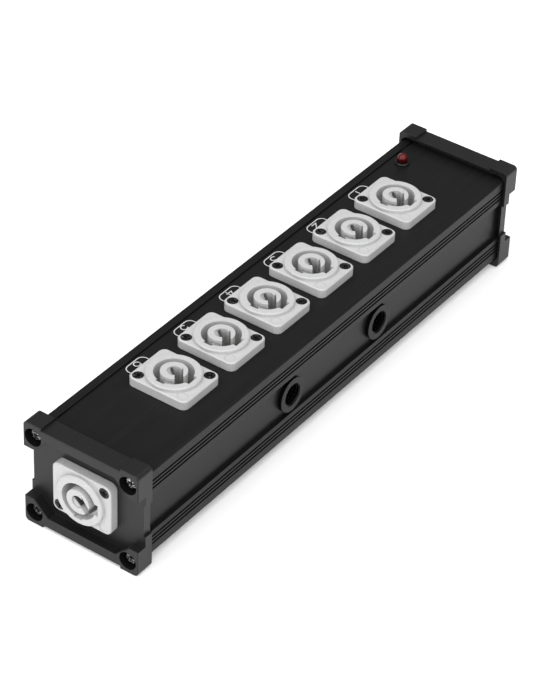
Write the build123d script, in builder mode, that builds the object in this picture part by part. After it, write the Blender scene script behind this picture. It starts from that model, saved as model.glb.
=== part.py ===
# A six way power splitter: one twist lock inlet in the near end cap feeds six twist lock
# outlets along the top of a black extruded box, which is hung by two threaded bushes.
# Millimetres. X runs across the box, Y along it with the inlet at the -Y end, Z is up.
# The origin lies on the floor, under the middle of the box.
import math
import os

from build123d import *

os.makedirs("parts", exist_ok=True)

# Overall length, over the two end caps
LENGTH = 293.2

# End caps: they stand past the housing all round, with four corner blocks, a bar at the top and the bottom, and a set back plate
CAP_SIDE_LIP = 1.7
CAP_TOP_LIP = 4.6
BLOCK_DEPTH = 9.7
BLOCK_W = 9.7
BLOCK_H = 13.5
BLOCK_STEP = 1.3
BAR_H = 5.0
SLANT_FLAT = 5.1
SLANT_RUN = 7.5
PLATE_SETBACK = 5.3
POCKET_DEPTH = 2.0
POCKET_SIDE_GAP = 0.4
POCKET_END_GAP = 1.9
POCKET_R = 3.5
CAP_TOP_R = 2.0
CAP_FOOT_R = 2.2
CAP_EDGE = 0.4
SIDE_NOTCH = 1.1
SIDE_NOTCH_H = 16.9

# Extruded housing
HOUSING_W = 58.0
HOUSING_FOOT_Z = 4.6
HOUSING_H = 45.3
HOUSING_R = 0.8
RAIL_W = 4.45
LID_RECESS = 0.25
SEAM_W = 0.95
SEAM_DEPTH = 0.6
WALL = 2.0
BAND_WALL = 2.4
SIDE_RECESS = 1.8
SIDE_RECESS_H = 20.2
GROOVES = 3
GROOVE_W = 0.85
GROOVE_DEPTH = 0.9
GROOVE_PITCH = 2.0
GROOVE_FIRST = 13.3
PORT_WALL_R = 3.3

# Cap screws, driven into the corner ports of the housing
CAP_SCREW_SIDE_INSET = 3.7
CAP_SCREW_TOP_INSET = 2.0
WELL_R = 4.4
WELL_DEPTH = 4.6
PAN_HEAD_R = 3.1
PAN_HEAD_H = 2.3
PAN_EDGE = 0.6
CAP_SCREW_R = 1.4
CAP_SCREW_L = 11.0
PORT_DEPTH = 14.0
THREAD_GAP = 0.05
CLEARANCE = 0.25
CROSS_L = 3.2
CROSS_W = 0.7
CROSS_DEPTH = 0.9

# Connectors, all seven of one pattern
OUTLETS = 6
FAR_OUTLET_INSET = 59.1
NEAR_OUTLET_INSET = 64.1
INLET_BELOW_LID = 22.75
FLANGE_W = 31.4
FLANGE_H = 25.8
FLANGE_R = 3.2
FLANGE_T = 4.5
FLANGE_EDGE = 0.5
COLLAR_R = 12.45
COLLAR_H = 2.0
RECESS_R = 9.0
RECESS_DEPTH = 12.3
BODY_R = 11.8
BODY_DEPTH = 19.5
CUTOUT_R = 12.1
REAR_BORE_R = 9.8
SHELL_FLOOR_T = 3.0
STEM_R = 6.1
STEM_PROUD = 0.5
CORE_BASE_H = 8.5
CAVITY_R = 3.1
CAVITY_DEPTH = 11.0
SLOT_ANGLE = -52.0
SLOT_L = 10.4
SLOT_W = 3.75
SLOT_AT = (3.36, -0.93)
KEYWAY_SIDE = (9.35, -0.05)
KEYWAY_SIDE_SIZE = (1.9, 5.9)
KEYWAY_FOOT = (-0.4, -9.05)
KEYWAY_FOOT_SIZE = (4.4, 1.4)
KEYWAY_DEPTH = 5.0
MARK_AT = (11.7, -9.5)
MARK_R = 2.35
MARK_DEPTH = 0.2
CATCH_ANGLE = -80.0
CATCH_BELOW = 1.5
CATCH_H = 1.2
CATCH_DEPTH = 0.8
CATCH_L = 4.2
SHELF_ANGLE = -43.0
SHELF_OUT = 7.6
SHELF_BELOW = 3.7
FLANGE_HOLE_X = 12.1
FLANGE_HOLE_Y = 9.4
FLANGE_SCREW_R = 1.45
FLANGE_SCREW_L = 8.0
CSK_R = 2.7
CSK_H = 1.5
HEAD_SINK = 0.1

# Contacts: three blades through each connector, with a push-on sleeve on each tail
BLADE_RADIUS = 7.55
BLADE_W = 4.8
BLADE_T = 0.9
BLADE_GAP = 0.15
BLADE_TIP = 4.0
TAIL = 25.5
SLEEVE_W = 6.6
SLEEVE_T = 3.2
SLEEVE_L = 8.0
SLEEVE_CLOSED = 0.5
WIRE_R = 1.5
WIRE_BEND = 6.0
EARTH_DROP_AT = 5.5
EARTH_DROP_END = 16.0

# Clamp bushes in the side, M12
BUSH_SPAN = 67.8
BUSH_FACE_R = 8.6
BUSH_FACE_T = 1.9
BUSH_NECK_R = 7.4
BUSH_SWAGE_R = 8.2
BUSH_SWAGE_L = 3.0
BUSH_BARREL_L = 9.0
BUSH_BORE_R = 5.1
BUSH_MOUTH = 0.6

# Indicator lamp
LAMP_SIDE_INSET = 11.3
LAMP_END_INSET = 26.4
LENS_R = 2.5
LENS_SHAFT = 2.8
LENS_FOOT_T = 1.2
BEZEL_R = 3.5
BEZEL_T = 1.2
BEZEL_NECK_R = 3.0
BEZEL_NECK_L = 6.0
LAMP_FIT = 0.1
LEAD_R = 0.6
LEAD_SPREAD = 1.2
LEAD_BEND = 3.0
LEAD_RISE = 1.0
LEAD_RUN = 18.0

# Earth bond to the housing floor
LUG_RING_R = 4.0
LUG_T = 0.8
LUG_NECK_W = 4.0
LUG_BARREL_R = 2.4
LUG_BARREL_L = 6.5
LUG_REACH = 6.0
EARTH_SCREW_R = 1.95
EARTH_HEAD_R = 3.5
EARTH_HEAD_H = 2.4

# Sizes that follow from the ones above
CAP_W = HOUSING_W + 2 * CAP_SIDE_LIP
CAP_H = HOUSING_FOOT_Z + HOUSING_H + CAP_TOP_LIP
HALF_LENGTH = LENGTH / 2
PLATE_Y = HALF_LENGTH - PLATE_SETBACK
CAP_BACK_Y = HALF_LENGTH - BLOCK_DEPTH
HOUSING_HALF = CAP_BACK_Y + POCKET_DEPTH
HOUSING_TOP_Z = HOUSING_FOOT_Z + HOUSING_H
HOUSING_MID_Z = HOUSING_FOOT_Z + HOUSING_H / 2
LID_Z = HOUSING_TOP_Z - LID_RECESS
LID_W = HOUSING_W - 2 * RAIL_W
FLOOR_Z = HOUSING_FOOT_Z + WALL
BAND_X = HOUSING_W / 2
SIDE_X = BAND_X - SIDE_RECESS
SIDE_IN_X = SIDE_X - WALL
FACE_H = FLANGE_T + COLLAR_H
CORE_SEAT = FACE_H - RECESS_DEPTH - SHELL_FLOOR_T
CORE_REAR = CORE_SEAT - CORE_BASE_H
CAP_SCREWS = [(x, HOUSING_MID_Z + z)
              for x in (CAP_SCREW_SIDE_INSET - BAND_X, BAND_X - CAP_SCREW_SIDE_INSET)
              for z in (CAP_SCREW_TOP_INSET - HOUSING_H / 2, HOUSING_H / 2 - CAP_SCREW_TOP_INSET)]
INLET_Z = LID_Z - INLET_BELOW_LID
WIRE_Z = INLET_Z
BUSH_Y = BUSH_SPAN / 2
BUSH_Z = HOUSING_MID_Z
LAMP_X = LAMP_SIDE_INSET - BAND_X
LAMP_Y = HALF_LENGTH - LAMP_END_INSET
FAR_OUTLET_Y = HALF_LENGTH - FAR_OUTLET_INSET
OUTLET_PITCH = (LENGTH - FAR_OUTLET_INSET - NEAR_OUTLET_INSET) / (OUTLETS - 1)
FLANGE_SCREWS = [(-FLANGE_HOLE_X, -FLANGE_HOLE_Y), (FLANGE_HOLE_X, FLANGE_HOLE_Y)]
OUTLET_YS = [FAR_OUTLET_Y - k * OUTLET_PITCH for k in range(OUTLETS)]
LIVE_AT = (-BLADE_RADIUS, 0)
NEUTRAL_AT = (BLADE_RADIUS, 0)
EARTH_AT = (0, BLADE_RADIUS)
EARTH_LAST_Y = FAR_OUTLET_Y + BLADE_RADIUS + SLEEVE_T / 2
EARTH_FALL_Y = EARTH_LAST_Y + WIRE_BEND + WIRE_R
LUG_BARREL_Y = EARTH_FALL_Y + WIRE_BEND + CLEARANCE
LUG_Y = LUG_BARREL_Y + LUG_BARREL_L + LUG_REACH
LUG_Z = FLOOR_Z + LUG_T
INLET_PLANE = Plane(origin=(0, -PLATE_Y, INLET_Z), x_dir=(1, 0, 0), z_dir=(0, -1, 0))
OUTLET_PLANES = [Plane(origin=(0, y, LID_Z)) for y in OUTLET_YS]


def end_plane(side, distance):
    """A plane across the box, facing out of the end that side gives, with its Y axis up."""
    return Plane(origin=(0, side * distance, 0), x_dir=(-side, 0, 0), z_dir=(0, side, 0))


def shifted(plane, x, y, rise=0):
    """The same plane with its origin moved across it and along its normal."""
    origin = plane.from_local_coords(Vector(x, y, rise))
    return Plane(origin=origin, x_dir=plane.x_dir, z_dir=plane.z_dir)


def save(part, name):
    part.label = name
    export_step(part, "parts/" + name + ".step")


# Housing: one extrusion, open at both ends
with BuildPart() as housing:
    with BuildSketch(end_plane(-1, HOUSING_HALF)):
        with Locations((0, HOUSING_MID_Z)):
            RectangleRounded(HOUSING_W, HOUSING_H, HOUSING_R)
        with Locations((0, HOUSING_TOP_Z)):
            Rectangle(LID_W, 2 * LID_RECESS, mode=Mode.SUBTRACT)
        with Locations(((SEAM_W - LID_W) / 2, LID_Z)):
            Rectangle(SEAM_W, 2 * SEAM_DEPTH, mode=Mode.SUBTRACT)
        with Locations((-BAND_X, HOUSING_MID_Z), (BAND_X, HOUSING_MID_Z)):
            Rectangle(2 * SIDE_RECESS, SIDE_RECESS_H, mode=Mode.SUBTRACT)
        for k in range(GROOVES):
            rise = GROOVE_FIRST + k * GROOVE_PITCH
            with Locations((-BAND_X, HOUSING_MID_Z + rise), (BAND_X, HOUSING_MID_Z + rise),
                           (-BAND_X, HOUSING_MID_Z - rise), (BAND_X, HOUSING_MID_Z - rise)):
                Rectangle(2 * GROOVE_DEPTH, GROOVE_W, mode=Mode.SUBTRACT)
    extrude(amount=-2 * HOUSING_HALF)
    with BuildSketch(end_plane(-1, HOUSING_HALF)):
        with Locations((0, (FLOOR_Z + LID_Z - WALL) / 2)):
            Rectangle(2 * (BAND_X - BAND_WALL), LID_Z - WALL - FLOOR_Z)
        with Locations((-BAND_X, HOUSING_MID_Z), (BAND_X, HOUSING_MID_Z)):
            Rectangle(2 * (BAND_X - SIDE_IN_X), SIDE_RECESS_H + 2 * WALL, mode=Mode.SUBTRACT)
        with Locations(*CAP_SCREWS):
            Circle(PORT_WALL_R, mode=Mode.SUBTRACT)
    extrude(amount=-2 * HOUSING_HALF, mode=Mode.SUBTRACT)
    for side in (-1, 1):
        with BuildSketch(end_plane(side, HOUSING_HALF)):
            with Locations(*CAP_SCREWS):
                Circle(CAP_SCREW_R + THREAD_GAP)
        extrude(amount=-PORT_DEPTH, mode=Mode.SUBTRACT)
    with BuildSketch(Plane.XY.offset(HOUSING_TOP_Z)):
        for y in OUTLET_YS:
            with Locations((0, y)):
                Circle(CUTOUT_R)
            with Locations(*[(x, y + rise) for x, rise in FLANGE_SCREWS]):
                Circle(FLANGE_SCREW_R + THREAD_GAP)
        with Locations((LAMP_X, LAMP_Y)):
            Circle(BEZEL_NECK_R + LAMP_FIT)
    extrude(amount=-LID_RECESS - WALL, mode=Mode.SUBTRACT)
    with BuildSketch(Plane.XY.offset(FLOOR_Z)):
        with Locations((0, LUG_Y)):
            Circle(EARTH_SCREW_R + THREAD_GAP)
    extrude(amount=-WALL, mode=Mode.SUBTRACT)
    with BuildSketch(Plane.YZ.offset(BAND_X)):
        with Locations((-BUSH_Y, BUSH_Z), (BUSH_Y, BUSH_Z)):
            Circle(BUSH_NECK_R + THREAD_GAP)
    extrude(amount=-SIDE_RECESS - WALL, mode=Mode.SUBTRACT)
save(housing.part, "housing")


def cap_outline():
    """The cap seen from its end, with the blocks standing proud of the two bars."""
    with BuildSketch() as outline:
        with Locations((0, CAP_H / 2)):
            Rectangle(CAP_W, CAP_H)
        fillet(outline.vertices().group_by(Axis.Y)[0], CAP_FOOT_R)
        fillet(outline.vertices().group_by(Axis.Y)[-1], CAP_TOP_R)
        with Locations((0, 0), (0, CAP_H)):
            Rectangle(CAP_W - 2 * BLOCK_W, 2 * BLOCK_STEP, mode=Mode.SUBTRACT)
    return outline.sketch


def cap_window():
    """The set back area, open at both sides, with slanted corners beside the blocks."""
    side = CAP_W / 2 + BLOCK_STEP
    flat = CAP_W / 2 - SLANT_FLAT
    run = flat - SLANT_RUN
    low_bar = BLOCK_STEP + BAR_H
    high_bar = CAP_H - low_bar
    high_block = CAP_H - BLOCK_H
    with BuildSketch() as window:
        with BuildLine():
            Polyline((-side, BLOCK_H), (-flat, BLOCK_H), (-run, low_bar),
                     (run, low_bar), (flat, BLOCK_H), (side, BLOCK_H),
                     (side, high_block), (flat, high_block), (run, high_bar),
                     (-run, high_bar), (-flat, high_block), (-side, high_block), close=True)
        make_face()
    return window.sketch


def end_cap(side, with_inlet):
    """A moulded cap, pocketed at its back for the end of the housing."""
    with BuildPart() as cap:
        with BuildSketch(end_plane(side, CAP_BACK_Y)):
            add(cap_outline())
        extrude(amount=BLOCK_DEPTH)
        with BuildSketch(end_plane(side, HALF_LENGTH)):
            add(cap_window())
        extrude(amount=-PLATE_SETBACK, mode=Mode.SUBTRACT)
        chamfer(cap.faces().filter_by_position(Axis.Y, side * HALF_LENGTH, side * HALF_LENGTH)
                .edges(), CAP_EDGE)
        with BuildSketch(end_plane(side, CAP_BACK_Y)):
            with Locations((-CAP_W / 2, HOUSING_MID_Z), (CAP_W / 2, HOUSING_MID_Z)):
                Rectangle(2 * SIDE_NOTCH, SIDE_NOTCH_H)
        extrude(amount=BLOCK_DEPTH, mode=Mode.SUBTRACT)
        with BuildSketch(end_plane(side, CAP_BACK_Y)):
            with Locations((0, HOUSING_MID_Z)):
                RectangleRounded(HOUSING_W + 2 * POCKET_SIDE_GAP,
                                 HOUSING_H + 2 * POCKET_END_GAP, POCKET_R)
        extrude(amount=POCKET_DEPTH, mode=Mode.SUBTRACT)
        with BuildSketch(end_plane(side, HALF_LENGTH)):
            with Locations(*CAP_SCREWS):
                Circle(WELL_R)
        extrude(amount=-WELL_DEPTH, mode=Mode.SUBTRACT)
        with BuildSketch(end_plane(side, HALF_LENGTH)):
            with Locations(*CAP_SCREWS):
                Circle(CAP_SCREW_R + CLEARANCE)
        extrude(amount=-BLOCK_DEPTH, mode=Mode.SUBTRACT)
        if with_inlet:
            with BuildSketch(INLET_PLANE):
                Circle(CUTOUT_R)
                with Locations(*FLANGE_SCREWS):
                    Circle(FLANGE_SCREW_R + THREAD_GAP)
            extrude(amount=-BLOCK_DEPTH, mode=Mode.SUBTRACT)
    return cap.part


save(end_cap(-1, True), "end_cap_inlet")
save(end_cap(1, False), "end_cap_plain")


def cross_slots():
    """The cross in a screw head, drawn in the sketch that is being built."""
    Rectangle(CROSS_L, CROSS_W)
    Rectangle(CROSS_W, CROSS_L)


def pan_screw(seat, head_r, head_h, shank_r, shank_l):
    """A pan head screw standing on the plane seat, shank down."""
    with BuildPart() as screw:
        with BuildSketch(seat):
            Circle(head_r)
        extrude(amount=head_h)
        chamfer(screw.faces().sort_by(Axis(seat.origin, seat.z_dir))[-1].edges(), PAN_EDGE)
        with BuildSketch(seat):
            Circle(shank_r)
        extrude(amount=-shank_l)
        with BuildSketch(seat.offset(head_h)):
            cross_slots()
        extrude(amount=-CROSS_DEPTH, mode=Mode.SUBTRACT)
    return screw.part


# Cap screws stand on the floors of the wells
for side, end_name in ((-1, "inlet"), (1, "plain")):
    well_floor = end_plane(side, HALF_LENGTH - WELL_DEPTH)
    with BuildPart() as cap_screws:
        for x, z in CAP_SCREWS:
            add(pan_screw(shifted(well_floor, x, z), PAN_HEAD_R, PAN_HEAD_H,
                          CAP_SCREW_R, CAP_SCREW_L))
    save(cap_screws.part, "cap_screws_" + end_name)


def blade_outlines(gap):
    """The three blades in section, drawn in the sketch that is being built."""
    with Locations(LIVE_AT, NEUTRAL_AT):
        Rectangle(BLADE_T + 2 * gap, BLADE_W + 2 * gap)
    with Locations(EARTH_AT):
        Rectangle(BLADE_W + 2 * gap, BLADE_T + 2 * gap)


def shelf(plane):
    """A step in the bottom of the round recess, cut off straight on the side of the core."""
    toward = (math.cos(math.radians(SHELF_ANGLE)), math.sin(math.radians(SHELF_ANGLE)))
    reach = SHELF_OUT + RECESS_R
    with BuildPart() as step:
        with BuildSketch(plane.offset(FACE_H - RECESS_DEPTH)):
            Circle(RECESS_R)
            with Locations((reach * toward[0], reach * toward[1])):
                Rectangle(2 * RECESS_R, 2 * RECESS_R, rotation=SHELF_ANGLE, mode=Mode.INTERSECT)
        extrude(amount=RECESS_DEPTH - SHELF_BELOW)
    return step.part


def connector_shell(plane, with_shelf):
    """Flange, round collar and rear body in one moulding, bored from both ends."""
    with BuildPart() as shell:
        with BuildSketch(plane):
            RectangleRounded(FLANGE_W, FLANGE_H, FLANGE_R)
        extrude(amount=FLANGE_T)
        chamfer(shell.faces().sort_by(Axis(plane.origin, plane.z_dir))[-1].edges(), FLANGE_EDGE)
        with BuildSketch(plane.offset(FLANGE_T)):
            Circle(COLLAR_R)
        extrude(amount=COLLAR_H)
        chamfer(shell.faces().sort_by(Axis(plane.origin, plane.z_dir))[-1].edges(), FLANGE_EDGE)
        with BuildSketch(plane):
            Circle(BODY_R)
        extrude(amount=-BODY_DEPTH)
        with BuildSketch(plane.offset(FACE_H)):
            Circle(RECESS_R)
        extrude(amount=-RECESS_DEPTH, mode=Mode.SUBTRACT)
        with BuildSketch(plane.offset(FACE_H)):
            with Locations(KEYWAY_SIDE):
                Rectangle(*KEYWAY_SIDE_SIZE)
            with Locations(KEYWAY_FOOT):
                Rectangle(*KEYWAY_FOOT_SIZE)
        extrude(amount=-KEYWAY_DEPTH, mode=Mode.SUBTRACT)
        with BuildSketch(plane.offset(CORE_SEAT)):
            Circle(REAR_BORE_R)
        extrude(amount=-BODY_DEPTH, mode=Mode.SUBTRACT)
        with BuildSketch(plane.offset(CORE_SEAT)):
            Circle(STEM_R + CLEARANCE)
            blade_outlines(BLADE_GAP)
        extrude(amount=SHELL_FLOOR_T, mode=Mode.SUBTRACT)
        for x, y in FLANGE_SCREWS:
            with BuildSketch(shifted(plane, x, y, FLANGE_T)):
                Circle(CSK_R)
            with BuildSketch(shifted(plane, x, y, FLANGE_T - CSK_H)):
                Circle(FLANGE_SCREW_R + CLEARANCE)
            loft(mode=Mode.SUBTRACT)
            with BuildSketch(shifted(plane, x, y, FLANGE_T)):
                Circle(FLANGE_SCREW_R + CLEARANCE)
            extrude(amount=-FLANGE_T, mode=Mode.SUBTRACT)
        with BuildSketch(plane.offset(FLANGE_T)):
            with Locations(MARK_AT):
                Circle(MARK_R)
            Circle(COLLAR_R, mode=Mode.SUBTRACT)
        extrude(amount=-MARK_DEPTH, mode=Mode.SUBTRACT)
        if with_shelf:
            add(shelf(plane))
    return shell.part


def connector_core(plane):
    """The keyed middle of a connector: a slotted stem on a wide foot."""
    with BuildPart() as core:
        with BuildSketch(plane.offset(CORE_SEAT)):
            Circle(REAR_BORE_R - CLEARANCE)
        extrude(amount=-CORE_BASE_H)
        with BuildSketch(plane.offset(CORE_SEAT)):
            Circle(STEM_R)
        extrude(amount=FACE_H + STEM_PROUD - CORE_SEAT)
        with BuildSketch(plane.offset(FACE_H + STEM_PROUD)):
            Circle(CAVITY_R)
            with Locations(SLOT_AT):
                Rectangle(SLOT_L, SLOT_W, rotation=SLOT_ANGLE)
        extrude(amount=-CAVITY_DEPTH, mode=Mode.SUBTRACT)
        with BuildSketch(plane.offset(CORE_REAR)):
            blade_outlines(BLADE_GAP)
        extrude(amount=CORE_BASE_H, mode=Mode.SUBTRACT)
        with BuildSketch(plane.offset(FACE_H + STEM_PROUD - CATCH_BELOW)):
            with PolarLocations(STEM_R, 1, start_angle=CATCH_ANGLE):
                Rectangle(2 * CATCH_DEPTH, CATCH_L)
        extrude(amount=-CATCH_H, mode=Mode.SUBTRACT)
    return core.part


def connector_contacts(plane):
    """Live, neutral and earth blades, from the recess to the tails behind the foot."""
    with BuildPart() as contacts:
        with BuildSketch(plane.offset(-TAIL)):
            blade_outlines(0)
        extrude(amount=TAIL - BLADE_TIP)
    return contacts.part


def flange_screws(plane):
    """Two countersunk screws at opposite corners of a flange."""
    with BuildPart() as screws:
        for x, y in FLANGE_SCREWS:
            top = shifted(plane, x, y, FLANGE_T - HEAD_SINK)
            with BuildSketch(top):
                Circle(CSK_R - HEAD_SINK)
            with BuildSketch(top.offset(HEAD_SINK - CSK_H)):
                Circle(FLANGE_SCREW_R)
            loft()
            with BuildSketch(top):
                Circle(FLANGE_SCREW_R)
            extrude(amount=-FLANGE_SCREW_L)
            with BuildSketch(top):
                cross_slots()
            extrude(amount=-CROSS_DEPTH, mode=Mode.SUBTRACT)
    return screws.part


# One connector per position: outlet 1 is the farthest from the inlet
CONNECTORS = [("outlet_" + str(k + 1), plane) for k, plane in enumerate(OUTLET_PLANES)]
CONNECTORS.append(("inlet", INLET_PLANE))
for name, plane in CONNECTORS:
    save(connector_shell(plane, name == "inlet"), name + "_shell")
    save(connector_core(plane), name + "_core")
    save(connector_contacts(plane), name + "_contacts")
with BuildPart() as outlet_screws:
    for plane in OUTLET_PLANES:
        add(flange_screws(plane))
save(outlet_screws.part, "outlet_screws")
save(flange_screws(INLET_PLANE), "inlet_screws")


def sleeves(at, across, along):
    """A push-on sleeve on the same blade of every connector, slotted for the blade."""
    with BuildPart() as group:
        for _, plane in CONNECTORS:
            foot = shifted(plane, *at, -TAIL - SLEEVE_CLOSED)
            with BuildSketch(foot):
                Rectangle(across, along)
            extrude(amount=SLEEVE_L)
            with BuildSketch(foot.offset(SLEEVE_CLOSED)):
                if across > along:
                    Rectangle(BLADE_W + 2 * BLADE_GAP, BLADE_T + 2 * BLADE_GAP)
                else:
                    Rectangle(BLADE_T + 2 * BLADE_GAP, BLADE_W + 2 * BLADE_GAP)
            extrude(amount=SLEEVE_L, mode=Mode.SUBTRACT)
    return group.part


save(sleeves(LIVE_AT, SLEEVE_T, SLEEVE_W), "live_sleeves")
save(sleeves(NEUTRAL_AT, SLEEVE_T, SLEEVE_W), "neutral_sleeves")
save(sleeves(EARTH_AT, SLEEVE_W, SLEEVE_T), "earth_sleeves")


def straight_wire(x, start_y, end_y):
    """A round wire along Y at the height of the sleeves."""
    with BuildPart() as wire:
        with BuildSketch(Plane(origin=(x, start_y, WIRE_Z), x_dir=(1, 0, 0), z_dir=(0, 1, 0))):
            Circle(WIRE_R)
        extrude(amount=end_y - start_y)
    return wire.part


def bent_wire(points, radius, bend):
    """A round wire along the points, with every corner rounded."""
    with BuildPart() as wire:
        with BuildLine() as route:
            FilletPolyline(*points, radius=bend)
        start = route.line @ 0
        along = route.line % 0
        with BuildSketch(Plane(origin=start, z_dir=along)):
            Circle(radius)
        sweep(path=route.line)
    return wire.part


INLET_SLEEVE_Y = -PLATE_Y + TAIL + SLEEVE_CLOSED
NEAR_OUTLET_Y = OUTLET_YS[-1]

# Live and neutral run straight from sleeve to sleeve
for wire_name, (x, _) in (("live_wires", LIVE_AT), ("neutral_wires", NEUTRAL_AT)):
    with BuildPart() as wires:
        add(straight_wire(x, INLET_SLEEVE_Y, NEAR_OUTLET_Y - SLEEVE_W / 2))
        for y in OUTLET_YS[1:]:
            add(straight_wire(x, y + SLEEVE_W / 2, y + OUTLET_PITCH - SLEEVE_W / 2))
    save(wires.part, wire_name)

# Earth starts higher at the inlet, and goes on past the last outlet to the lug
EARTH_TOP_Z = INLET_Z + BLADE_RADIUS
EARTH_FIRST_Y = NEAR_OUTLET_Y + BLADE_RADIUS - SLEEVE_T / 2
LUG_WIRE_Z = FLOOR_Z + LUG_BARREL_R + THREAD_GAP
with BuildPart() as earth_wires:
    add(bent_wire([(0, INLET_SLEEVE_Y, EARTH_TOP_Z),
                   (0, INLET_SLEEVE_Y + EARTH_DROP_AT, EARTH_TOP_Z),
                   (0, INLET_SLEEVE_Y + EARTH_DROP_END, WIRE_Z),
                   (0, EARTH_FIRST_Y, WIRE_Z)], WIRE_R, WIRE_BEND))
    for y in OUTLET_YS[1:]:
        add(straight_wire(0, y + BLADE_RADIUS + SLEEVE_T / 2,
                          y + BLADE_RADIUS + OUTLET_PITCH - SLEEVE_T / 2))
    add(bent_wire([(0, EARTH_LAST_Y, WIRE_Z), (0, EARTH_FALL_Y, WIRE_Z),
                   (0, EARTH_FALL_Y, LUG_WIRE_Z),
                   (0, LUG_BARREL_Y + LUG_BARREL_L, LUG_WIRE_Z)], WIRE_R, WIRE_BEND))
save(earth_wires.part, "earth_wires")

# Earth lug: a ring on the floor, with a crimped barrel round the wire
with BuildPart() as earth_lug:
    with BuildSketch(Plane.XY.offset(FLOOR_Z)):
        with Locations((0, LUG_Y)):
            Circle(LUG_RING_R)
        with Locations((0, LUG_Y - LUG_REACH / 2)):
            Rectangle(LUG_NECK_W, LUG_REACH)
    extrude(amount=LUG_T)
    with BuildSketch(end_plane(1, LUG_BARREL_Y)):
        with Locations((0, LUG_WIRE_Z)):
            Circle(LUG_BARREL_R)
    extrude(amount=LUG_BARREL_L + LUG_T)
    with BuildSketch(end_plane(1, LUG_BARREL_Y)):
        with Locations((0, LUG_WIRE_Z)):
            Circle(WIRE_R + THREAD_GAP)
    extrude(amount=LUG_BARREL_L + LUG_T, mode=Mode.SUBTRACT)
    with BuildSketch(Plane.XY.offset(FLOOR_Z)):
        with Locations((0, LUG_Y)):
            Circle(EARTH_SCREW_R + CLEARANCE)
    extrude(amount=LUG_T, mode=Mode.SUBTRACT)
save(earth_lug.part, "earth_lug")
save(pan_screw(Plane(origin=(0, LUG_Y, LUG_Z)), EARTH_HEAD_R, EARTH_HEAD_H, EARTH_SCREW_R,
               WALL + LUG_T), "earth_screw")

# Clamp bushes: a flat ring outside, swaged behind the wall, bored right through
for name, y in (("clamp_bush_near", -BUSH_Y), ("clamp_bush_far", BUSH_Y)):
    face_x = SIDE_X + BUSH_FACE_T
    with BuildPart() as bush:
        with BuildSketch(Plane.XZ.offset(-y)):
            with BuildLine():
                Polyline((face_x, BUSH_Z + BUSH_BORE_R + BUSH_MOUTH),
                         (face_x, BUSH_Z + BUSH_FACE_R),
                         (SIDE_X, BUSH_Z + BUSH_FACE_R),
                         (SIDE_X, BUSH_Z + BUSH_NECK_R),
                         (SIDE_IN_X, BUSH_Z + BUSH_NECK_R),
                         (SIDE_IN_X, BUSH_Z + BUSH_SWAGE_R),
                         (SIDE_IN_X - BUSH_SWAGE_L, BUSH_Z + BUSH_NECK_R),
                         (SIDE_IN_X - BUSH_SWAGE_L - BUSH_BARREL_L, BUSH_Z + BUSH_NECK_R),
                         (SIDE_IN_X - BUSH_SWAGE_L - BUSH_BARREL_L, BUSH_Z + BUSH_BORE_R),
                         (face_x - BUSH_MOUTH, BUSH_Z + BUSH_BORE_R), close=True)
            make_face()
        revolve(axis=Axis((0, y, BUSH_Z), (1, 0, 0)))
    save(bush.part, name)

# Indicator lamp: a snap-in ring, a domed lens with a wide foot, and two leads
LAMP_PLANE = Plane(origin=(LAMP_X, LAMP_Y, LID_Z))
with BuildPart() as lamp_bezel:
    with BuildSketch(LAMP_PLANE):
        Circle(BEZEL_R)
    extrude(amount=BEZEL_T)
    chamfer(lamp_bezel.faces().sort_by(Axis.Z)[-1].edges(), CAP_EDGE)
    with BuildSketch(LAMP_PLANE):
        Circle(BEZEL_NECK_R)
    extrude(amount=-BEZEL_NECK_L)
    with BuildSketch(LAMP_PLANE.offset(BEZEL_T)):
        Circle(LENS_R + LAMP_FIT)
    extrude(amount=-BEZEL_T - BEZEL_NECK_L, mode=Mode.SUBTRACT)
save(lamp_bezel.part, "lamp_bezel")

with BuildPart() as lamp_lens:
    with BuildSketch(LAMP_PLANE.offset(-BEZEL_NECK_L)):
        Circle(LENS_R)
    extrude(amount=BEZEL_NECK_L + LENS_SHAFT)
    with Locations(LAMP_PLANE.offset(LENS_SHAFT)):
        Sphere(LENS_R)
    with BuildSketch(LAMP_PLANE.offset(-BEZEL_NECK_L)):
        Circle(BEZEL_NECK_R)
    extrude(amount=-LENS_FOOT_T)
save(lamp_lens.part, "lamp_lens")

LEAD_TOP_Z = LID_Z - BEZEL_NECK_L - LENS_FOOT_T
LEAD_END_Y = FAR_OUTLET_Y + SLEEVE_W / 2
with BuildPart() as lamp_leads:
    z = WIRE_Z + LEAD_RISE
    for lead_x, sleeve_x in ((-LEAD_SPREAD, -BLADE_RADIUS), (LEAD_SPREAD, BLADE_RADIUS)):
        x = LAMP_X + lead_x
        add(bent_wire([(x, LAMP_Y, LEAD_TOP_Z), (x, LAMP_Y, z),
                       (sleeve_x, LEAD_END_Y + LEAD_RUN, z), (sleeve_x, LEAD_END_Y, z)],
                      LEAD_R, LEAD_BEND))
save(lamp_leads.part, "lamp_leads")
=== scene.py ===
# %% [markdown]
# A six way power splitter: a black extruded aluminium box with moulded end caps, one light grey
# twist lock inlet in the near cap and six light grey twist lock outlets along the top. The solids
# come from the CAD model. This script dresses them: it adds the printed numbers, the threads of
# the side bushes, and the steps, ribs and dark strips in the sockets as new surfaces, the strips
# being painted shade, and gives every piece a material built from nodes.

import bpy
import numpy as np
from mathutils import Matrix, Vector


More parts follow.
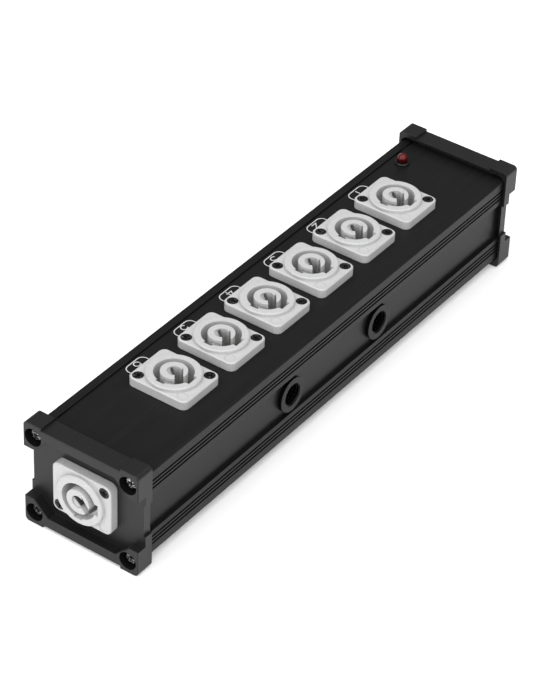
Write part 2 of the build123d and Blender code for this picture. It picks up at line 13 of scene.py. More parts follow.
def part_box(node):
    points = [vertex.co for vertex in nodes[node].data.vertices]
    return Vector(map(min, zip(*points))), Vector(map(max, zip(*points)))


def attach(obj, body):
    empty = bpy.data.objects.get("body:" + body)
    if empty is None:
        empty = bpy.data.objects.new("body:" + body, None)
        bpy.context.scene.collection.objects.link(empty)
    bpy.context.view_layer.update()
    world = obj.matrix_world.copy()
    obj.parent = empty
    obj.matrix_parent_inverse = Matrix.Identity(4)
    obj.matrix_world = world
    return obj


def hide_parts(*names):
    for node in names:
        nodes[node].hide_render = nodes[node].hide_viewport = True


MM = 0.001
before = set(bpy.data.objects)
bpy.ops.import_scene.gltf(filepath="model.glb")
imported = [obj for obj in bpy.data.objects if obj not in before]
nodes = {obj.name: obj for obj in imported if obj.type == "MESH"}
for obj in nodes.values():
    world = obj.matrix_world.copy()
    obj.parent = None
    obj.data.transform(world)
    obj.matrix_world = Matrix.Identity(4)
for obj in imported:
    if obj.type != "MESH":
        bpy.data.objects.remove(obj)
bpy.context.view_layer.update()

# %% [markdown]
# The camera stands high on the right, in front of the inlet, and looks down the box. A long lens
# keeps the lines nearly parallel. Three angles, a distance, the lens and the point that it looks
# at fix it.

# %% Camera
TURN = np.radians(34.534)
RISE = np.radians(37.608)
ROLL = np.radians(2.342)
DISTANCE = 1.28699
LOOK_PAST_RIGHT = 0.00635
LOOK_PAST_UP = 0.00713
LOOK_HEIGHT = 0.02675
LENS_MM = 145.905
SENSOR_MM = 36.0
NEAREST = 0.05
FARTHEST = 20.0


def camera_axes(turn, rise, roll):
    """Right, up and back: back points from the object to the camera at that turn and rise, right
    is level, and both right and up are then turned about back by the roll."""
    back = np.array([np.sin(turn) * np.cos(rise), -np.cos(turn) * np.cos(rise), np.sin(rise)])
    level = np.array([np.cos(turn), np.sin(turn), 0.0])
    upright = np.cross(back, level)
    right = np.cos(roll) * level + np.sin(roll) * upright
    up = np.cos(roll) * upright - np.sin(roll) * level
    return right, up, back


right, up, back = camera_axes(TURN, RISE, ROLL)
place = back * DISTANCE - right * LOOK_PAST_RIGHT - up * LOOK_PAST_UP
place[2] += LOOK_HEIGHT
camera = bpy.data.objects.new("camera", bpy.data.cameras.new("camera"))
camera.data.lens = LENS_MM
camera.data.sensor_width = SENSOR_MM
camera.data.clip_start = NEAREST
camera.data.clip_end = FARTHEST
camera.matrix_world = Matrix.Translation(Vector(place)) @ Matrix(
    np.column_stack([right, up, back]).tolist()).to_4x4()
bpy.context.scene.collection.objects.link(camera)
bpy.context.scene.camera = camera
print("camera at", [round(float(v), 3) for v in place])

# %% [markdown]
# The object stands on a white sweep under a wide softbox that hangs high in front on the right, so
# the shadow falls behind the box, out of sight. A smaller one at the front left lights the inlet
# end. The sweep is also lit a little from inside, and comes out white. The room is grey and much
# darker: the black sides mirror the bright floor, and the lid mirrors the room.

# %% Floor, room and lights
FLOOR_SIDE = 6.0
FLOOR_GREY = 0.93
FLOOR_ROUGHNESS = 0.9
FLOOR_SHINE = 0.1
FLOOR_GLOW = 0.08
ROOM_GREY = 0.31
SUN_WIDTH = np.radians(112)
SUN_POWER = 4.0
SUN_SPOT = (0.28, -0.42, 1.0)
FILL_SPOT = (-0.45, -0.90, 0.50)
FILL_AIM = (-0.10, -0.32, 0.0)
FILL_SIDE = 0.6
FILL_POWER = 2.2


def aimed(kind, name, spot, target, power):
    """A lamp of that kind at spot, turned so that its beam points at target."""
    lamp = bpy.data.objects.new(name, bpy.data.lights.new(name, kind))
    lamp.data.energy = power
    lamp.location = spot
    lamp.rotation_euler = (Vector(target) - Vector(spot)).to_track_quat("-Z", "Y").to_euler()
    bpy.context.scene.collection.objects.link(lamp)
    return lamp


def white_floor(side):
    """A square sheet at height zero, centred under the object."""
    half = side / 2
    corners = [(-half, -half, 0), (half, -half, 0), (half, half, 0), (-half, half, 0)]
    mesh = bpy.data.meshes.new("floor")
    mesh.from_pydata(corners, [], [(0, 1, 2, 3)])
    floor = bpy.data.objects.new("floor", mesh)
    bpy.context.scene.collection.objects.link(floor)
    paint = bpy.data.materials.new("white_sweep")
    paint.use_nodes = True
    shader = paint.node_tree.nodes["Principled BSDF"]
    shader.inputs["Base Color"].default_value = (FLOOR_GREY,) * 3 + (1,)
    shader.inputs["Roughness"].default_value = FLOOR_ROUGHNESS
    shader.inputs["Specular IOR Level"].default_value = FLOOR_SHINE
    shader.inputs["Emission Color"].default_value = (1, 1, 1, 1)
    shader.inputs["Emission Strength"].default_value = FLOOR_GLOW
    mesh.materials.append(paint)
    return floor


white_floor(FLOOR_SIDE)
sun = aimed("SUN", "softbox_overhead", SUN_SPOT, (0, 0, 0), SUN_POWER)
sun.data.angle = SUN_WIDTH
fill = aimed("AREA", "fill_front_left", FILL_SPOT, FILL_AIM, FILL_POWER)
fill.data.size = FILL_SIDE
room = bpy.data.worlds.new("room")
room.use_nodes = True
room.node_tree.nodes["Background"].inputs["Color"].default_value = (ROOM_GREY,) * 3 + (1,)
bpy.context.scene.world = room
bpy.context.scene.view_settings.view_transform = "Standard"

# %% [markdown]
# Every finish is the same small recipe with other numbers. A fine noise on Object coordinates
# stands for the grain. It drives the colour, a narrow range of roughness and a bump two
# thousandths to two hundredths of a millimetre high. Stretching the noise along one axis gives
# the drawn lines of an extrusion. Where a finish is given an edge, a Bevel node rounds the look
# of the edges by that much, because no moulded or machined part has them quite sharp.

# %% A recipe for finishes
GRAIN_DETAIL = 4.0
BEVEL_SAMPLES = 4


def finish(name, dark, light, roughness, grain, height, metallic=0.0, stretch=(1, 1, 1),
           edge=0.0, coat=0.0, index=1.5, spread=(0.3, 0.7)):
    """A material whose colour runs from dark to light, and whose roughness runs between two
    values, with a noise of grain cells per metre; the same noise lifts the surface by height.
    Spread says between which two noise values the colour turns: a high pair gives sparse flecks."""
    made = bpy.data.materials.new(name)
    made.use_nodes = True
    tree = made.node_tree
    shader = tree.nodes["Principled BSDF"]
    where = tree.nodes.new("ShaderNodeTexCoord")
    scale = tree.nodes.new("ShaderNodeMapping")
    scale.inputs["Scale"].default_value = stretch
    noise = tree.nodes.new("ShaderNodeTexNoise")
    noise.inputs["Scale"].default_value = grain
    noise.inputs["Detail"].default_value = GRAIN_DETAIL
    ramp = tree.nodes.new("ShaderNodeValToRGB")
    ramp.color_ramp.elements[0].color = (*dark, 1)
    ramp.color_ramp.elements[1].color = (*light, 1)
    ramp.color_ramp.elements[0].position = spread[0]
    ramp.color_ramp.elements[1].position = spread[1]
    rough = tree.nodes.new("ShaderNodeMapRange")
    rough.inputs["To Min"].default_value = roughness[0]
    rough.inputs["To Max"].default_value = roughness[1]
    bump = tree.nodes.new("ShaderNodeBump")
    bump.inputs["Strength"].default_value = 1.0
    bump.inputs["Distance"].default_value = height
    link = tree.links.new
    link(where.outputs["Object"], scale.inputs["Vector"])
    link(scale.outputs["Vector"], noise.inputs["Vector"])
    link(noise.outputs["Fac"], ramp.inputs["Fac"])
    link(noise.outputs["Fac"], rough.inputs["Value"])
    link(noise.outputs["Fac"], bump.inputs["Height"])
    link(ramp.outputs["Color"], shader.inputs["Base Color"])
    link(rough.outputs["Result"], shader.inputs["Roughness"])
    link(bump.outputs["Normal"], shader.inputs["Normal"])
    if edge:
        bevel = tree.nodes.new("ShaderNodeBevel")
        bevel.samples = BEVEL_SAMPLES
        bevel.inputs["Radius"].default_value = edge
        link(bevel.outputs["Normal"], bump.inputs["Normal"])
    shader.inputs["Metallic"].default_value = metallic
    shader.inputs["Coat Weight"].default_value = coat
    shader.inputs["IOR"].default_value = index
    return made


# %% [markdown]
# The black pieces have almost no colour of their own. What is seen on them is the floor, and the
# index says how strongly they mirror it. The screws of the caps and of the flanges get a high
# pair in spread, which leaves bright flecks on a dark ground, and the extrusion's grain is drawn
# out along the box.

# %% The finishes
ALONG_BOX = (1, 0.02, 1)
black_anodised = finish("black_anodised", (0.005, 0.005, 0.005), (0.008, 0.008, 0.008),
                        (0.34, 0.42), 1400, 2e-6, stretch=ALONG_BOX, edge=0.0002, index=1.26)
black_moulding = finish("black_moulding", (0.005, 0.005, 0.005), (0.008, 0.008, 0.008),
                        (0.36, 0.46), 1800, 8e-6, edge=0.0003, index=1.39)
# A dark moulding only for the strips in the sockets: painted shade.
painted_shade_moulding = finish("painted_shade_moulding", (0.025, 0.025, 0.025), (0.045, 0.045, 0.045),
                       (0.36, 0.46), 1800, 8e-6)
grey_moulding = finish("grey_moulding", (0.42, 0.42, 0.42), (0.47, 0.47, 0.47),
                       (0.36, 0.46), 1200, 6e-6, edge=0.0003)
blackened_screw = finish("blackened_screw", (0.002, 0.002, 0.002), (0.10, 0.10, 0.10),
                         (0.24, 0.40), 1600, 1e-5, edge=0.0001, index=1.3, spread=(0.54, 0.68))
bright_zinc = finish("bright_zinc", (0.50, 0.50, 0.50), (0.70, 0.70, 0.70),
                     (0.22, 0.36), 2500, 5e-6, metallic=1.0, edge=0.0001)
dark_zinc = finish("dark_zinc", (0.015, 0.015, 0.015), (0.50, 0.50, 0.50),
                   (0.20, 0.36), 1500, 2e-5, metallic=1.0, edge=0.0001, spread=(0.48, 0.64))
black_steel = finish("black_steel", (0.003, 0.003, 0.003), (0.006, 0.006, 0.006),
                     (0.30, 0.42), 2500, 4e-6, edge=0.0002, index=1.25)
# A darker copy of black_steel that mirrors less: painted shade on the bushes' bores and rims.
painted_shade_steel = finish("painted_shade_steel", (0.001, 0.001, 0.001), (0.003, 0.003, 0.003),
                     (0.20, 0.32), 2500, 4e-6, index=1.18)
plain_brass = finish("plain_brass", (0.62, 0.48, 0.22), (0.80, 0.66, 0.36),
                     (0.24, 0.36), 2000, 4e-6, metallic=1.0)
tinned_brass = finish("tinned_brass", (0.55, 0.55, 0.53), (0.72, 0.71, 0.69),
                      (0.28, 0.40), 2000, 4e-6, metallic=1.0)
milky_sleeve = finish("milky_sleeve", (0.62, 0.62, 0.58), (0.80, 0.80, 0.77),
                      (0.20, 0.32), 900, 5e-6)
brown_insulation = finish("brown_insulation", (0.10, 0.04, 0.02), (0.16, 0.07, 0.035),
                          (0.35, 0.50), 1500, 8e-6)
blue_insulation = finish("blue_insulation", (0.03, 0.10, 0.36), (0.05, 0.15, 0.50),
                         (0.35, 0.50), 1500, 8e-6)
red_insulation = finish("red_insulation", (0.40, 0.02, 0.02), (0.55, 0.04, 0.04),
                        (0.35, 0.50), 1500, 8e-6)
bezel_black = finish("bezel_black", (0.004, 0.004, 0.004), (0.009, 0.009, 0.009),
                     (0.25, 0.38), 2200, 5e-6, edge=0.0002, index=1.35)
white_ink = finish("white_ink", (0.48, 0.48, 0.48), (0.60, 0.60, 0.60),
                   (0.45, 0.60), 1500, 3e-6)
print("finishes", len(bpy.data.materials))

# %% [markdown]
# Earth insulation is green with a yellow stripe along it. All the earth wires run in the plane
# through the box's middle, so a step beside that plane picks the colour.

# %% Earth insulation
STRIPE_FROM = 0.5 * MM


def striped(made, stripe, width):
    """Puts a stripe on a finish: where a point is further than width to the right of the box's
    middle plane, the stripe's colour takes the place of the ramp's."""
    tree = made.node_tree
    shader = tree.nodes["Principled BSDF"]
    ramp = next(n for n in tree.nodes if n.type == "VALTORGB")
    where = next(n for n in tree.nodes if n.type == "TEX_COORD")
    split = tree.nodes.new("ShaderNodeSeparateXYZ")
    above = tree.nodes.new("ShaderNodeMath")
    above.operation = "GREATER_THAN"
    above.inputs[1].default_value = width
    mix = tree.nodes.new("ShaderNodeMix")
    mix.data_type = "RGBA"
    mix.inputs["B"].default_value = (*stripe, 1)
    tree.links.new(where.outputs["Object"], split.inputs["Vector"])
    tree.links.new(split.outputs["X"], above.inputs[0])
    tree.links.new(above.outputs["Value"], mix.inputs["Factor"])
    tree.links.new(ramp.outputs["Color"], mix.inputs["A"])
    tree.links.new(mix.outputs["Result"], shader.inputs["Base Color"])
    return made


earth_insulation = striped(finish("earth_insulation", (0.03, 0.22, 0.03), (0.05, 0.32, 0.05),
                                  (0.35, 0.50), 1500, 8e-6), (0.75, 0.62, 0.02), STRIPE_FROM)
print("earth insulation", len(earth_insulation.node_tree.nodes), "nodes")

# %% [markdown]
# The lens is a red dome. It is painted darkest at its foot, where it stands in its ring, so the
# colour fades downwards: painted shade.

# %% Red lens
red_lens = finish("red_lens", (0.065, 0.0003, 0.0007), (0.11, 0.0006, 0.0012),
                  (0.05, 0.09), 700, 4e-6, coat=0.2, index=1.3)
LENS_DARK_BELOW_TOP = 3.4 * MM
LENS_CLEAR_BELOW_TOP = 1.2 * MM
LENS_FOOT_SHARE = 0.2


def painted_foot_shade(made, low, high, share):
    """Painted shade: darkens the colour downwards. It is whole at height high and above, and only
    that share of it is left at height low and below."""
    tree = made.node_tree
    where = next(n for n in tree.nodes if n.type == "TEX_COORD")
    ramp = next(n for n in tree.nodes if n.type == "VALTORGB")
    split = tree.nodes.new("ShaderNodeSeparateXYZ")
    kept = tree.nodes.new("ShaderNodeMapRange")
    kept.inputs["From Min"].default_value = low
    kept.inputs["From Max"].default_value = high
    kept.inputs["To Min"].default_value = share
    scaled = tree.nodes.new("ShaderNodeVectorMath")
    scaled.operation = "SCALE"
    tree.links.new(where.outputs["Object"], split.inputs["Vector"])
    tree.links.new(split.outputs["Z"], kept.inputs["Value"])
    tree.links.new(ramp.outputs["Color"], scaled.inputs[0])
    tree.links.new(kept.outputs["Result"], scaled.inputs["Scale"])
    tree.links.new(scaled.outputs["Vector"], tree.nodes["Principled BSDF"].inputs["Base Color"])


# The lens's foot is darkened as painted shade.
lens_top = float(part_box("lamp_lens")[1][2])
painted_foot_shade(red_lens, lens_top - LENS_DARK_BELOW_TOP, lens_top - LENS_CLEAR_BELOW_TOP,
          LENS_FOOT_SHARE)
print("lens top in mm", round(lens_top / MM, 2))

# %% [markdown]
# The fine grooves along the box and the screw wells in the caps are drawn with no shine at all,
# as painted shade. To turn the reflection down there, the material has to work out from a point's
# place where it is. A few helpers for sums on sockets come first.

# %% Helpers for sums on sockets
PLAIN_SHINE = 0.5


def reckon(tree, operation, left, right=0.0):
    """The outcome of one sum on a socket and a number or another socket."""
    step = tree.nodes.new("ShaderNodeMath")
    step.operation = operation
    tree.links.new(left, step.inputs[0])
    if isinstance(right, float):
        step.inputs[1].default_value = right
    else:
        tree.links.new(right, step.inputs[1])
    return step.outputs["Value"]


def from_middle(made, node):
    """How far a point is from the middle of a node's box across and in height, and half the box's
    size both ways. The box has to lie evenly about X zero."""
    low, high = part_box(node)
    tree = made.node_tree
    where = next(n for n in tree.nodes if n.type == "TEX_COORD")
    split = tree.nodes.new("ShaderNodeSeparateXYZ")
    tree.links.new(where.outputs["Object"], split.inputs["Vector"])
    centred = reckon(tree, "SUBTRACT", split.outputs["Z"], float((low[2] + high[2]) / 2))
    return (reckon(tree, "ABSOLUTE", split.outputs["X"]), reckon(tree, "ABSOLUTE", centred),
            float((high[0] - low[0]) / 2), float((high[2] - low[2]) / 2))


def painted_shade_where(made, inside):
    """Takes the shine away where inside is one: painted shade."""
    tree = made.node_tree
    shine = tree.nodes.new("ShaderNodeMapRange")
    shine.inputs["To Min"].default_value = PLAIN_SHINE
    shine.inputs["To Max"].default_value = 0.0
    tree.links.new(inside, shine.inputs["Value"])
    tree.links.new(shine.outputs["Result"],
                   tree.nodes["Principled BSDF"].inputs["Specular IOR Level"])


# %% [markdown]
# The grooves repeat at one pitch, so a point's height, folded once per pitch, finds all of them.
# A well is a circle round a screw's axis, and takes the height and the distance across. Both lie
# evenly about the middle of the box, across and in height, so one quarter is worked out.

# %% Painted shade in grooves and wells
GROOVE_FIRST = 13.3 * MM
GROOVE_PITCH = 2.0 * MM
GROOVE_LAST = 17.3 * MM
GROOVE_HALF = 0.56 * MM
WELL_R = 4.45 * MM
SCREW_HEAD_R = 3.1 * MM


def in_grooves(made):
    """One where a point is near the middle of a groove: the height above or below the box's
    middle, less the first groove's, is folded once per pitch into a distance from a groove."""
    tree = made.node_tree
    _, rise, _, _ = from_middle(made, "housing")
    past_first = reckon(tree, "SUBTRACT", rise, GROOVE_FIRST)
    from_groove = reckon(tree, "PINGPONG", past_first, GROOVE_PITCH / 2)
    near = reckon(tree, "LESS_THAN", from_groove, GROOVE_HALF)
    above = reckon(tree, "GREATER_THAN", rise, GROOVE_FIRST - GROOVE_HALF)
    below = reckon(tree, "LESS_THAN", rise, GROOVE_LAST + GROOVE_HALF)
    return reckon(tree, "MULTIPLY", near, reckon(tree, "MULTIPLY", above, below))


def in_wells(made):
    """One where a point is nearer to one of the four screw axes than the well's wall is."""
    tree = made.node_tree
    across, rise, half_width, half_height = from_middle(made, "cap_screws_inlet")
    u = reckon(tree, "SUBTRACT", across, half_width - SCREW_HEAD_R)
    v = reckon(tree, "SUBTRACT", rise, half_height - SCREW_HEAD_R)
    square = reckon(tree, "ADD", reckon(tree, "MULTIPLY", u, u), reckon(tree, "MULTIPLY", v, v))
    return reckon(tree, "LESS_THAN", square, WELL_R**2)


# Painted shade: the grooves and the wells lose their shine.
painted_shade_where(black_anodised, in_grooves(black_anodised))
painted_shade_where(black_moulding, in_wells(black_moulding))
print("dull wells out to", round(WELL_R / MM, 2), "mm from each screw")

# %% [markdown]
# Each solid takes the finish of the piece it is. A list of name beginnings hands the finishes
# out, and only the outlets' contacts are told from their shells and cores by a name's end.

# %% Hand out the finishes
FINISHES = [("housing", black_anodised), ("end_cap", black_moulding),
            ("cap_screws", dark_zinc), ("outlet_screws", blackened_screw),
            ("inlet_screws", blackened_screw), ("clamp_bush", black_steel),
            ("live_sleeves", milky_sleeve), ("neutral_sleeves", milky_sleeve),
            ("earth_sleeves", milky_sleeve), ("live_wires", brown_insulation),
            ("neutral_wires", blue_insulation), ("earth_wires", earth_insulation),
            ("lamp_lens", red_lens), ("lamp_bezel", bezel_black), ("lamp_leads", red_insulation),
            ("earth_lug", tinned_brass), ("earth_screw", bright_zinc),
            ("inlet_contacts", plain_brass), ("inlet", grey_moulding)]


def finish_of(node):
    """The finish of a CAD node, from the beginning and the end of its name."""
    if node.startswith("outlet_") and node != "outlet_screws":
        return plain_brass if node.endswith("contacts") else grey_moulding
    return next(made for start, made in FINISHES if node.startswith(start))


for name, piece in nodes.items():
    piece.data.materials.clear()
    piece.data.materials.append(finish_of(name))
print("dressed", len(nodes), "solids")

# %% [markdown]
# The numbers beside the outlets are white print on the black lid. On the real box the ink is a
# film far thinner than paper. Here each stroke is a flat bar a few hundredths of a millimetre
# thick, carried along a path of straight runs and arcs, so that it catches light as ink does and
# still is a closed piece.

# %% Strokes carried along a path
LID_RECESS = 0.25 * MM
LID_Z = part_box("housing")[1][2] - LID_RECESS
INK = 0.04 * MM
ARC_POINTS = 14
SHARPEST_TURN = 0.4


def arc(centre, radius, start, end, steps=ARC_POINTS):
    """Points on an ellipse from angle start to angle end, in degrees."""
    angle = np.radians(np.linspace(start, end, steps))
    return np.column_stack([centre[0] + radius[0] * np.cos(angle),
                            centre[1] + radius[1] * np.sin(angle)])


def slab(right, left, low, high_right, high_left):
    """A closed bar between two flat lines of as many points each, from a flat underside up to one
    height at each line: a ring of four corners at each pair of points, walls and two ends."""
    base = np.full((len(right), 1), low)
    rings = np.stack([np.hstack([right, base]), np.hstack([left, base]),
                      np.hstack([left, base - low + high_left]),
                      np.hstack([right, base - low + high_right])], axis=1)
    count = len(right)
    i, j = np.meshgrid(np.arange(count - 1), np.arange(4), indexing="ij")
    k = (j + 1) % 4
    walls = np.stack([i * 4 + j, (i + 1) * 4 + j, (i + 1) * 4 + k, i * 4 + k], axis=-1)
    ends = [[0, 1, 2, 3], [count * 4 - 1, count * 4 - 2, count * 4 - 3, count * 4 - 4]]
    return rings.reshape(-1, 3), np.vstack([walls.reshape(-1, 4), ends])


def stroke(path, width, thickness):
    """A rectangle, width by thickness, carried along a flat path: at each point the side is the
    mean of the two runs' normals, stretched so that the bar keeps its width round a corner."""
    run = np.diff(path, axis=0)
    run /= np.linalg.norm(run, axis=1, keepdims=True)
    before = np.vstack([run[:1], run])
    after = np.vstack([run, run[-1:]])
    mean = before + after
    mean /= np.linalg.norm(mean, axis=1, keepdims=True)
    stretch = 1 / np.maximum(np.sum(mean * after, axis=1, keepdims=True), SHARPEST_TURN)
    side = np.column_stack([-mean[:, 1], mean[:, 0]]) * stretch * width / 2
    return slab(path - side, path + side, 0.0, thickness, thickness)


def piece_from(name, parts, material):
    """One object from several lists of points and four cornered faces, facing outwards."""
    points = np.vstack([p for p, _ in parts])
    starts = np.cumsum([0] + [len(p) for p, _ in parts[:-1]])
    faces = np.vstack([f + s for (_, f), s in zip(parts, starts)])
    mesh = bpy.data.meshes.new(name)
    mesh.from_pydata(points.tolist(), [], faces.tolist())
    mesh.update()
    mesh.materials.append(material)
    made = bpy.data.objects.new(name, mesh)
    bpy.context.scene.collection.objects.link(made)
    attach(made, "root")
    print(name, len(mesh.vertices), "points", len(mesh.polygons), "faces")
    return made


# %% [markdown]
# Each number sits in an open frame: a line with two round corners that comes out from under the
# flange and goes back under it. The print isn't quite in step with the outlets, so each frame has
# a place of its own.

# %% Frames
OUTLET_YS = np.array([sum(corner[1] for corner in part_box(f"outlet_{k}_shell")) / 2
                      for k in range(1, 7)])
FRAME_SHIFTS = np.array([-0.95, -1.05, -0.95, -0.85, 0.15, 0.35]) * MM
FRAME_XS = np.array([-22.6, -22.5, -22.45, -22.45, -22.7, -22.85]) * MM
FRAME_IN_X = -15.0 * MM
FRAME_HALF = 6.35 * MM
FRAME_R = 3.0 * MM
FRAME_LINE = 0.45 * MM


def number_frame(x, y):
    """The line round one number: out from under the flange, round a corner, along the lid, round
    a corner and back."""
    turn_x = x + FRAME_R
    turn_y = FRAME_HALF - FRAME_R
    high = arc((turn_x, y + turn_y), (FRAME_R, FRAME_R), 90, 180)
    low = arc((turn_x, y - turn_y), (FRAME_R, FRAME_R), 180, 270)
    return np.vstack([[(FRAME_IN_X, y + FRAME_HALF)], high, low, [(FRAME_IN_X, y - FRAME_HALF)]])


def lifted(bar):
    """A bar moved up from height zero onto the lid."""
    points, faces = bar
    return points + np.array([0, 0, LID_Z]), faces


frames = [lifted(stroke(number_frame(x, y), FRAME_LINE, INK))
          for x, y in zip(FRAME_XS, OUTLET_YS + FRAME_SHIFTS)]
piece_from("number_frames", frames, white_ink)

# %% [markdown]
# The figures stand with their heads towards the outlets. They are drawn in a box one wide and one
# and a half high, then turned and placed, each a little off its outlet's middle as on the real lid.

# %% Figures
FIGURE_SHIFTS = np.array([-1.0, -1.6, -1.1, -0.85, 0.1, 0.65]) * MM
FIGURE_FOOT_XS = np.array([-21.7, -21.5, -21.5, -21.8, -22.15, -22.2]) * MM
FIGURE_SIZE = 3.4 * MM
FIGURE_LINE = 0.50 * MM
LOOP_POINTS = 28
FIGURES = [
    [np.array([(0.22, 1.15), (0.55, 1.45), (0.55, 0.0)])],
    [np.vstack([arc((0.5, 1.02), (0.45, 0.45), 170, -35), [(0.05, 0.05), (0.98, 0.05)]])],
    [np.vstack([arc((0.5, 1.10), (0.40, 0.36), 160, -90), [(0.5, 0.74)]]),
     np.vstack([arc((0.5, 0.40), (0.46, 0.38), 90, -160)])],
    [np.array([(0.72, 0.0), (0.72, 1.48), (0.02, 0.42), (1.0, 0.42)])],
    [np.vstack([[(0.88, 1.45), (0.22, 1.45), (0.12, 0.82)],
                arc((0.48, 0.48), (0.46, 0.46), 120, -150)])],
    [np.vstack([arc((0.5, 0.46), (0.44, 0.44), 90, -270, LOOP_POINTS)]),
     np.vstack([arc((0.95, 0.52), (0.89, 0.95), 180, 100)])],
]


def placed_figure(points, x, y):
    """A figure's own axes turned onto the lid: its right runs down Y and its up runs along X."""
    return np.column_stack([x + points[:, 1] * FIGURE_SIZE,
                            y + (0.5 - points[:, 0]) * FIGURE_SIZE])


figures = [lifted(stroke(placed_figure(path, x, y), FIGURE_LINE, INK))
           for figure, x, y in zip(FIGURES, FIGURE_FOOT_XS, OUTLET_YS + FIGURE_SHIFTS)
           for path in figure]
piece_from("printed_numbers", figures, white_ink)

# %% [markdown]
# The two side bushes are threaded right through, for the bolts of clamps. Their CAD bore is
# smooth, at the crests of the thread, so each bush is drawn again around the same axis.

# %% Sizes of the bushes
THREAD_PITCH = 1.75 * MM
THREAD_DEPTH = 0.85 * MM
THREAD_SLOPE = 2.2
THREAD_FLAT = 0.6
SHARP_FROM = np.radians(35)
BORE_R = 5.1 * MM
MOUTH = 0.6 * MM
NECK_R = 7.4 * MM
SWAGE_R = 8.2 * MM
FACE_T = 1.9 * MM
WALL = 2.0 * MM
SWAGE_L = 3.0 * MM
BORE_STATIONS = 145
BUSH_ANGLES = 144
BORE_FACES = BORE_STATIONS * BUSH_ANGLES
RIM_RING = 1
print("thread in mm, across its crests", round(2 * BORE_R / MM, 2),
      "and its roots", round(2 * (BORE_R + THREAD_DEPTH) / MM, 2))

# %% [markdown]
# One outline is turned about the bush's axis. Its bore wall steps out and in once per pitch, and
# moves on by one pitch in each turn, which is a screw thread.

# %% Thread and outline
def thread_depth(x, angle):
    """How far the bore wall is outside the crests: with s the way along the axis in pitches less
    the turns made round it, it is a ramp up and down once per s, cut flat at both ends."""
    s = (x / THREAD_PITCH - angle / (2 * np.pi)) % 1.0
    return THREAD_DEPTH * np.clip(THREAD_SLOPE * np.abs(2 * s - 1) - THREAD_FLAT, 0, 1)


def threaded_bush(node):
    """The outline, outside first and then the bore from its inner end out to its mouth, turned
    round the axis. Each ring of points joins the next, and the last joins the first."""
    low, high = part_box(node)
    wall_x = high[0] - FACE_T
    back_x = wall_x - WALL
    outline = np.array([(high[0], BORE_R + MOUTH), (high[0], (high[2] - low[2]) / 2),
                        (wall_x, (high[2] - low[2]) / 2), (wall_x, NECK_R), (back_x, NECK_R),
                        (back_x, SWAGE_R), (back_x - SWAGE_L, NECK_R), (low[0], NECK_R)])
    angle = np.linspace(0, 2 * np.pi, BUSH_ANGLES, endpoint=False)
    bore_x = np.linspace(low[0], high[0], BORE_STATIONS)[:-1, None]
    mouth_r = BORE_R + MOUTH - (high[0] - bore_x)
    bore_r = np.maximum(BORE_R + thread_depth(bore_x, angle[None, :]), mouth_r)
    x = np.vstack([np.repeat(outline[:, :1], BUSH_ANGLES, axis=1),
                   np.repeat(bore_x, BUSH_ANGLES, axis=1)])
    r = np.vstack([np.repeat(outline[:, 1:], BUSH_ANGLES, axis=1), bore_r])
    points = np.stack([x, (low[1] + high[1]) / 2 + r * np.cos(angle),
                       (low[2] + high[2]) / 2 + r * np.sin(angle)], axis=-1)
    i, j = np.meshgrid(np.arange(len(x)), np.arange(BUSH_ANGLES), indexing="ij")
    i2, j2 = (i + 1) % len(x), (j + 1) % BUSH_ANGLES
    faces = np.stack([i, i, i2, i2], axis=-1) * BUSH_ANGLES + np.stack([j, j2, j2, j], axis=-1)
    return points.reshape(-1, 3), faces.reshape(-1, 4)


# %% [markdown]
# Each drawn bush takes the place of the CAD one. Its thread and the outside of its rim are almost
# black: both take a darker copy of the steel that mirrors less than the face, as painted shade.

# %% Threaded bushes
for node in ("clamp_bush_near", "clamp_bush_far"):
    bush = piece_from(node + "_threaded", [threaded_bush(node)], black_steel)
    bush.data.set_sharp_from_angle(angle=SHARP_FROM)
    bush.data.materials.append(painted_shade_steel)
    face = np.arange(len(bush.data.polygons))
    # The bore and the outside of the rim take the darker copy: painted shade.
    shaded_faces = (face >= len(face) - BORE_FACES) | (face // BUSH_ANGLES == RIM_RING)
    bush.data.polygons.foreach_set("material_index", shaded_faces.astype(np.int32))
    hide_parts(node)

# %% [markdown]
# The keyed hole in each socket's core is not plain. One side of it is a step that slopes down to
# a straight edge, a strip in a dark finish stands along that edge as painted shade, and the end
# of the slot has a rib. All stand on the floor of the CAD cavity, a hair away from its walls. The
# sizes are in the plane of the socket's face, from the socket's middle, and heights are from the
# top of the core.

# %% Sizes in the sockets
HOLE_R = 3.1 * MM
HOLE_DEPTH = 11.0 * MM
HAIR = 0.02 * MM
STEP_TURN = np.radians(-41.5)
STEP_EDGE = 0.62 * MM
STEP_RIM_BELOW = 0.5 * MM
STEP_EDGE_BELOW = 2.1 * MM
STRIP_W = 0.6 * MM
STRIP_FROM = -2.95 * MM
STRIP_TO = 2.3 * MM
STRIP_BELOW = 0.5 * MM
SLOT_TURN = np.radians(-52)
SLOT_END = -2.4 * MM
SLOT_SIDE = 3.95 * MM
RIB_FRONT = -0.6 * MM
RIB_SIDE = 3.35 * MM
NOTCH_FRONT = -1.4 * MM
STEP_REACH = 0.995
STEP_POINTS = 40
RIB_POINTS = 24
print("strip in mm", round(STRIP_W / MM, 2), "by", round((STRIP_TO - STRIP_FROM) / MM, 2))

# %% [markdown]
# Each form is a bar between two lines, drawn along a direction of its own and then turned. The
# step's outer line is the hole's circle. The strip is straight. The rib follows the circle and
# then stands back at its far side.

# %% Step, strip and rib
def turned(along, left, turn):
    """Points given along a direction and to the left of it, as x and y."""
    c, s = np.cos(turn), np.sin(turn)
    return np.column_stack([along * c - left * s, along * s + left * c])


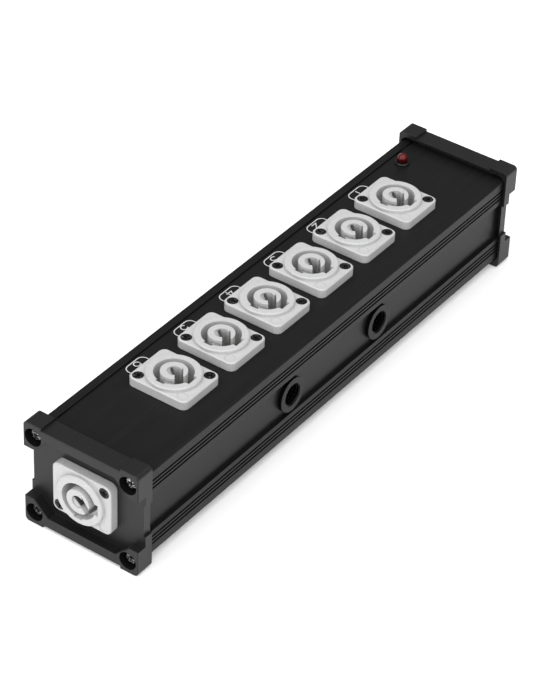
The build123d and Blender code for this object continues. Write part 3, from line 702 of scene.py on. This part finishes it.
def sloped_step():
    """The part of the hole's circle to the right of a straight line, from below up to the slope:
    the line stands STEP_EDGE to the right of the middle, and the arc is r from the middle."""
    r = HOLE_R - HAIR
    reach = STEP_REACH * np.sqrt(r**2 - STEP_EDGE**2)
    along = np.linspace(-reach, reach, STEP_POINTS)
    chord = turned(along, np.full(STEP_POINTS, -STEP_EDGE), STEP_TURN)
    rim = turned(along, -np.sqrt(r**2 - along**2), STEP_TURN)
    return slab(rim, chord, HAIR - HOLE_DEPTH, -STEP_RIM_BELOW, -STEP_EDGE_BELOW)


def painted_shade_strip():
    """A straight bar beside the step's edge, in a dark finish: painted shade."""
    along = np.array([STRIP_FROM, STRIP_TO])
    near = turned(along, np.full(2, HAIR - STEP_EDGE), STEP_TURN)
    far = turned(along, np.full(2, HAIR - STEP_EDGE + STRIP_W), STEP_TURN)
    return slab(near, far, HAIR - HOLE_DEPTH, -STRIP_BELOW, -STRIP_BELOW)


def slot_rib():
    """Fills the slot's blind end outside the hole's circle: from the end wall forward to the
    circle, then to the rib's front, and at the far side only to the notch."""
    r = HOLE_R + HAIR
    side = np.linspace(np.sqrt(r**2 - SLOT_END**2) + HAIR, np.sqrt(r**2 - RIB_FRONT**2), RIB_POINTS)
    front = -np.sqrt(r**2 - side**2)
    side = np.concatenate([side, [RIB_SIDE, RIB_SIDE + HAIR, SLOT_SIDE - HAIR]])
    front = np.concatenate([front, [RIB_FRONT, NOTCH_FRONT, NOTCH_FRONT]])
    back = np.full(len(side), SLOT_END + HAIR)
    return slab(turned(front, side, SLOT_TURN), turned(back, side, SLOT_TURN),
                HAIR - HOLE_DEPTH, -HAIR, -HAIR)


print("points in a step, a strip and a rib",
      [len(bar[0]) for bar in (sloped_step(), painted_shade_strip(), slot_rib())])

# %% [markdown]
# All seven sockets are alike, so one set of bars is moved to each. The inlet looks out of the
# end of the box, so its heights run along Y.

# %% One set in every socket
def on_outlet(bar, k):
    """A bar moved to the top of the core of outlet k."""
    low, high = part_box(f"outlet_{k}_core")
    middle = np.array([(low[0] + high[0]) / 2, (low[1] + high[1]) / 2, high[2]])
    return bar[0] + middle, bar[1]


def on_inlet(bar):
    """The socket's face looks towards -Y: heights run down Y, and the face's own Y runs up Z."""
    low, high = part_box("inlet_core")
    middle = np.array([(low[0] + high[0]) / 2, low[1], (low[2] + high[2]) / 2])
    x, y, h = bar[0].T
    return np.column_stack([x, -h, y]) + middle, bar[1]


def in_every_socket(*bars):
    """The bars once in each outlet, and once in the inlet."""
    return [on_outlet(bar, k) for k in range(1, 7) for bar in bars] + [on_inlet(b) for b in bars]


piece_from("socket_steps", in_every_socket(sloped_step(), slot_rib()), grey_moulding)
# The dark strips are painted shade along each step's edge.
piece_from("socket_shade_strips", in_every_socket(painted_shade_strip()), painted_shade_moulding)
